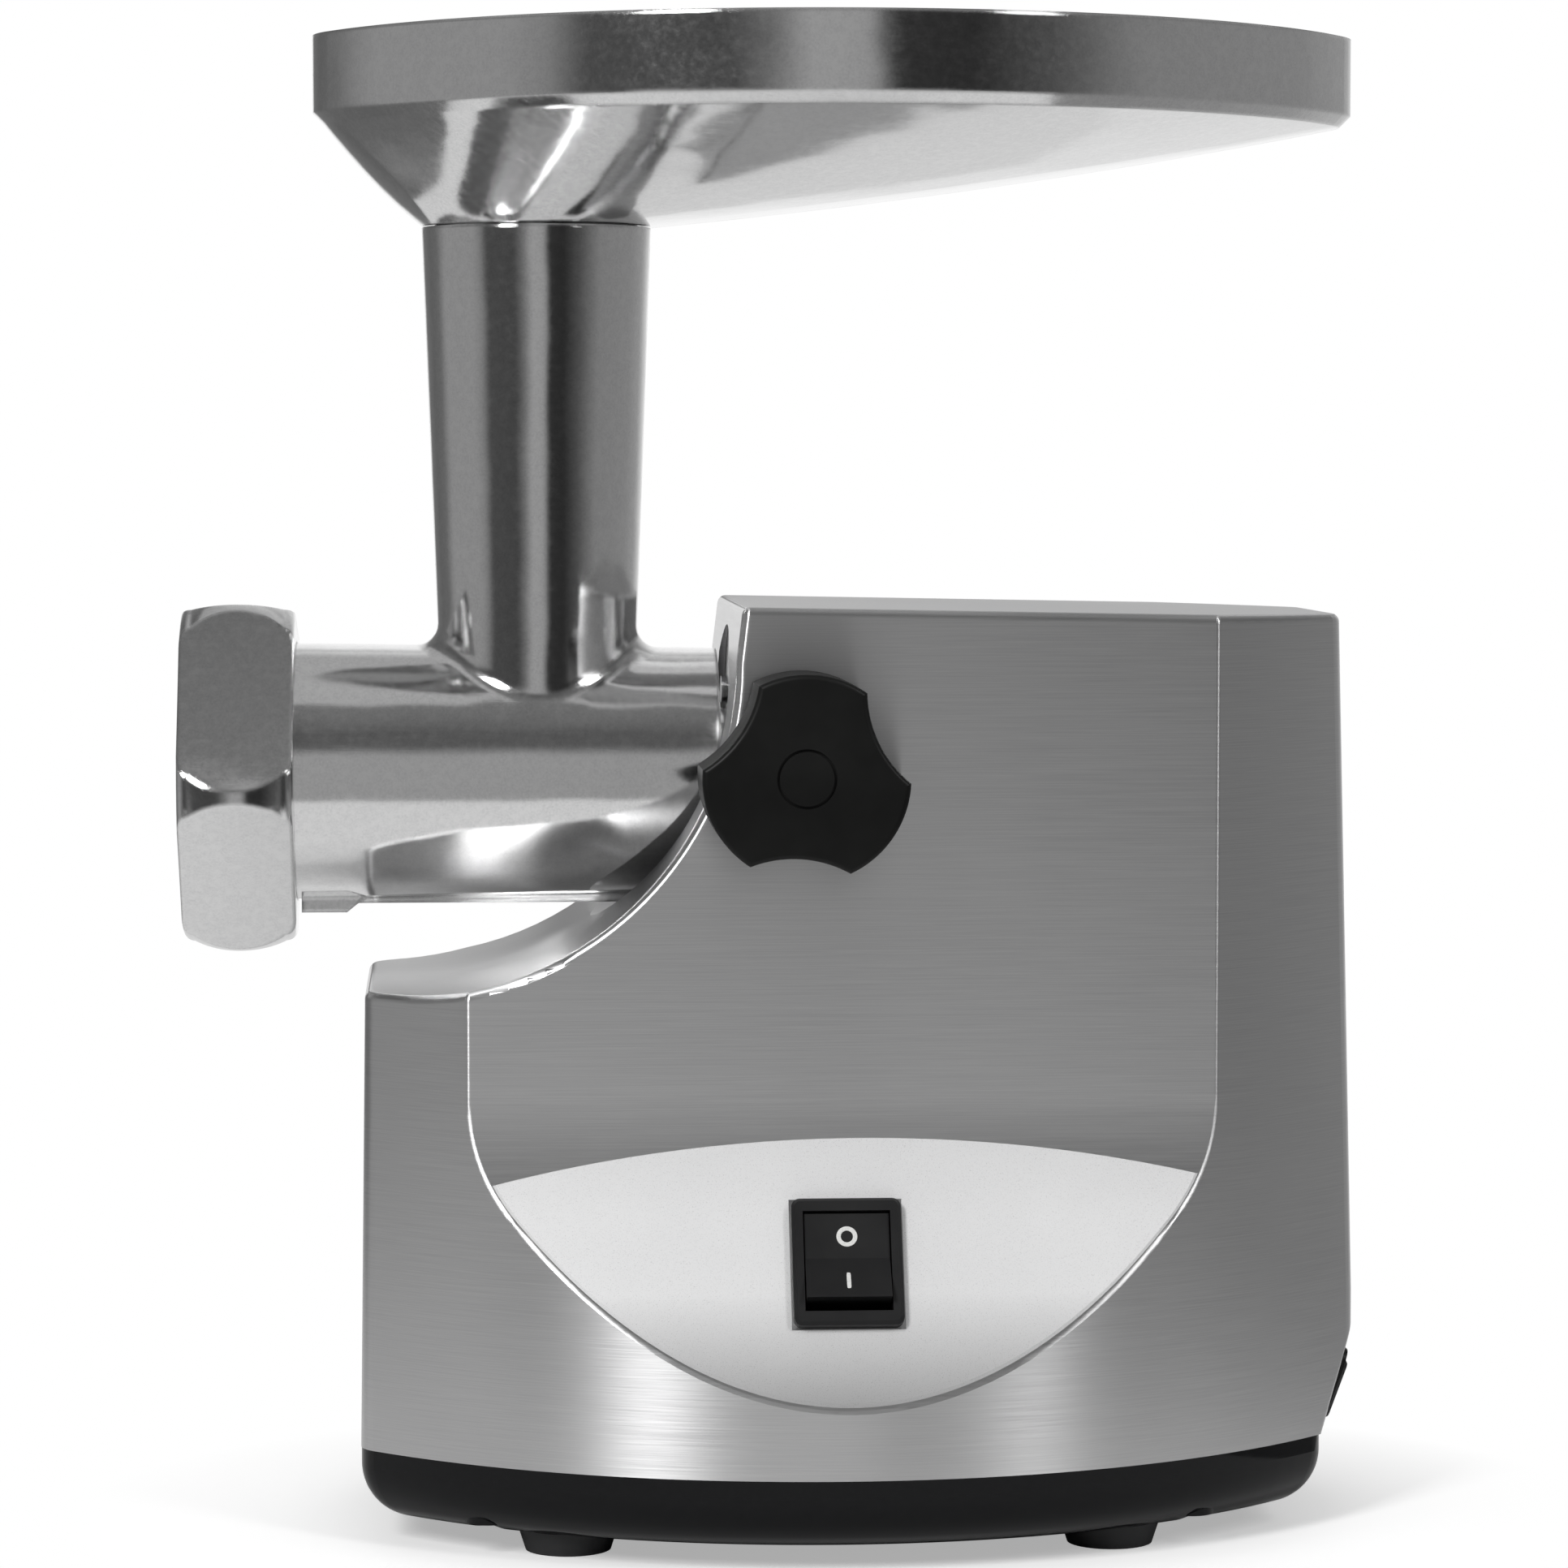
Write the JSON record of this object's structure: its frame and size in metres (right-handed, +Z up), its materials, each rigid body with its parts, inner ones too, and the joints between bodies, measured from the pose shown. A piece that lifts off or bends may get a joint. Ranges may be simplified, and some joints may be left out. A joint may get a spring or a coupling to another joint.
{
  "type": "electric meat grinder",
  "caption": "Countertop electric meat grinder: rounded brushed housing, screw-fed head with ring nut and cutting plate, upright feed tube, oval tray and side lock knob.",
  "frame": {"origin": "on the table, under the middle of the bounding box", "axes": "+Z up, -X out of the mouth, -Y towards the side with the switch and the lock knob"},
  "size_m": [0.2724, 0.168, 0.345],
  "materials": {
    "brushed_housing": "brushed along the length",
    "cast_aluminium": "fine satin casting",
    "black_gloss": "glossy moulded plastic",
    "black_satin": "satin moulded plastic",
    "foot_rubber": "dull rubber",
    "pale_label": "bare satin film",
    "steel": "ground steel",
    "dark_steel": "laminated steel",
    "bronze": "sintered bronze",
    "copper": "enamelled copper wire",
    "nylon": "natural nylon",
    "carbon": "pressed carbon"
  },
  "bodies": {
    "chassis": {"housing_shell": "brushed_housing", "base_pan": "black_gloss", "rubber_feet": "foot_rubber", "base_screws": "steel", "control_label": "pale_label", "power_switch_body": "black_satin", "rear_panel": "black_satin", "reverse_switch_body": "black_satin", "cord_gland": "foot_rubber", "head_socket": "cast_aluminium", "socket_screws": "steel", "gearbox_front_plate": "dark_steel", "gearbox_rear_plate": "dark_steel", "gearbox_posts": "steel", "gearbox_screws": "steel", "spindle_bushes": "bronze", "layshaft_bushes": "bronze", "motor_stator": "dark_steel", "field_coils": "copper", "motor_rear_bracket": "dark_steel", "motor_bearings": "steel", "motor_bolts": "steel", "brush_holders": "black_satin", "carbon_brushes": "carbon", "terminal_block": "nylon", "suppressor_capacitor": "black_satin"},
    "head": {"grinder_head": "cast_aluminium", "neck_bush": "bronze", "plate_key_pin": "steel"},
    "feed_screw": {"auger": "cast_aluminium", "auger_washer": "nylon", "knife": "steel"},
    "cutting_plate": {"grinding_plate": "steel"},
    "nut": {"ring_nut": "cast_aluminium"},
    "tray": {"hopper_tray": "cast_aluminium"},
    "washer": {"clamp_washer": "steel"},
    "knob": {"lock_knob": "black_satin", "lock_screw": "steel"},
    "output": {"output_spindle": "steel", "output_gear": "steel"},
    "second_shaft": {"second_layshaft": "steel", "second_gear": "steel"},
    "first_shaft": {"first_layshaft": "steel", "first_gear": "nylon"},
    "rotor": {"rotor_shaft": "steel", "rotor_core": "dark_steel", "commutator": "copper", "cooling_fan": "nylon"},
    "power_button": {"power_rocker": "black_satin"},
    "reverse_button": {"reverse_rocker": "black_satin"}
  },
  "joints": [
    {"name": "head_slide", "type": "slide", "parent": "chassis", "child": "head", "axis": [-1, 0, 0], "range_m": [0, 0.07]},
    {"name": "tray_lift", "type": "slide", "parent": "head", "child": "tray", "axis": [0, 0, 1], "range_m": [0, 0.06]},
    {"name": "plate_slide", "type": "slide", "parent": "head", "child": "cutting_plate", "axis": [-1, 0, 0], "range_m": [0, 0.0125]},
    {"name": "nut_turn", "type": "hinge", "parent": "cutting_plate", "child": "nut", "pos_m": [-0.124, 0, 0.175], "axis": [-1, 0, 0], "range_deg": [0, 900]},
    {"name": "washer_slide", "type": "slide", "parent": "chassis", "child": "washer", "axis": [0, -1, 0], "range_m": [0, 0.006]},
    {"name": "knob_turn", "type": "hinge", "parent": "washer", "child": "knob", "pos_m": [0.0036, -0.068, 0.1775], "axis": [0, -1, 0], "range_deg": [0, 1080]},
    {"name": "power_rock", "type": "hinge", "parent": "chassis", "child": "power_button", "pos_m": [0.0135, -0.06355, 0.06714], "axis": [1, 0, 0], "range_deg": [0, 18.8]},
    {"name": "reverse_rock", "type": "hinge", "parent": "chassis", "child": "reverse_button", "pos_m": [0.12926, -0.008, 0.03089], "axis": [0.3477, 0, 0.9376], "range_deg": [0, 18.8], "stiffness_Nm_per_rad": 0.1, "springref_deg": -5.73},
    {"name": "second_shaft_spin", "type": "hinge", "parent": "chassis", "child": "second_shaft", "pos_m": [0.066, 0.01016, 0.13425], "axis": [1, 0, 0], "continuous": true},
    {"name": "output_spin", "type": "hinge", "parent": "chassis", "child": "output", "pos_m": [0.066, 0, 0.175], "axis": [1, 0, 0], "continuous": true},
    {"name": "feed_screw_spin", "type": "hinge", "parent": "head", "child": "feed_screw", "pos_m": [0.066, 0, 0.175], "axis": [1, 0, 0], "continuous": true},
    {"name": "first_shaft_spin", "type": "hinge", "parent": "chassis", "child": "first_shaft", "pos_m": [0.066, -0.00598, 0.1039], "axis": [1, 0, 0], "continuous": true},
    {"name": "rotor_spin", "type": "hinge", "parent": "chassis", "child": "rotor", "pos_m": [0.066, 0, 0.0745], "axis": [1, 0, 0], "continuous": true}
  ],
  "couplings": [
    {"joint": "nut_turn", "follows": "plate_slide", "rad_per_m": 1256.6},
    {"joint": "knob_turn", "follows": "washer_slide", "rad_per_m": 3141.6},
    {"joint": "output_spin", "follows": "second_shaft_spin", "ratio": -0.33333},
    {"joint": "feed_screw_spin", "follows": "second_shaft_spin", "ratio": -0.33333},
    {"joint": "first_shaft_spin", "follows": "second_shaft_spin", "ratio": -4},
    {"joint": "rotor_spin", "follows": "second_shaft_spin", "ratio": 20}
  ]
}
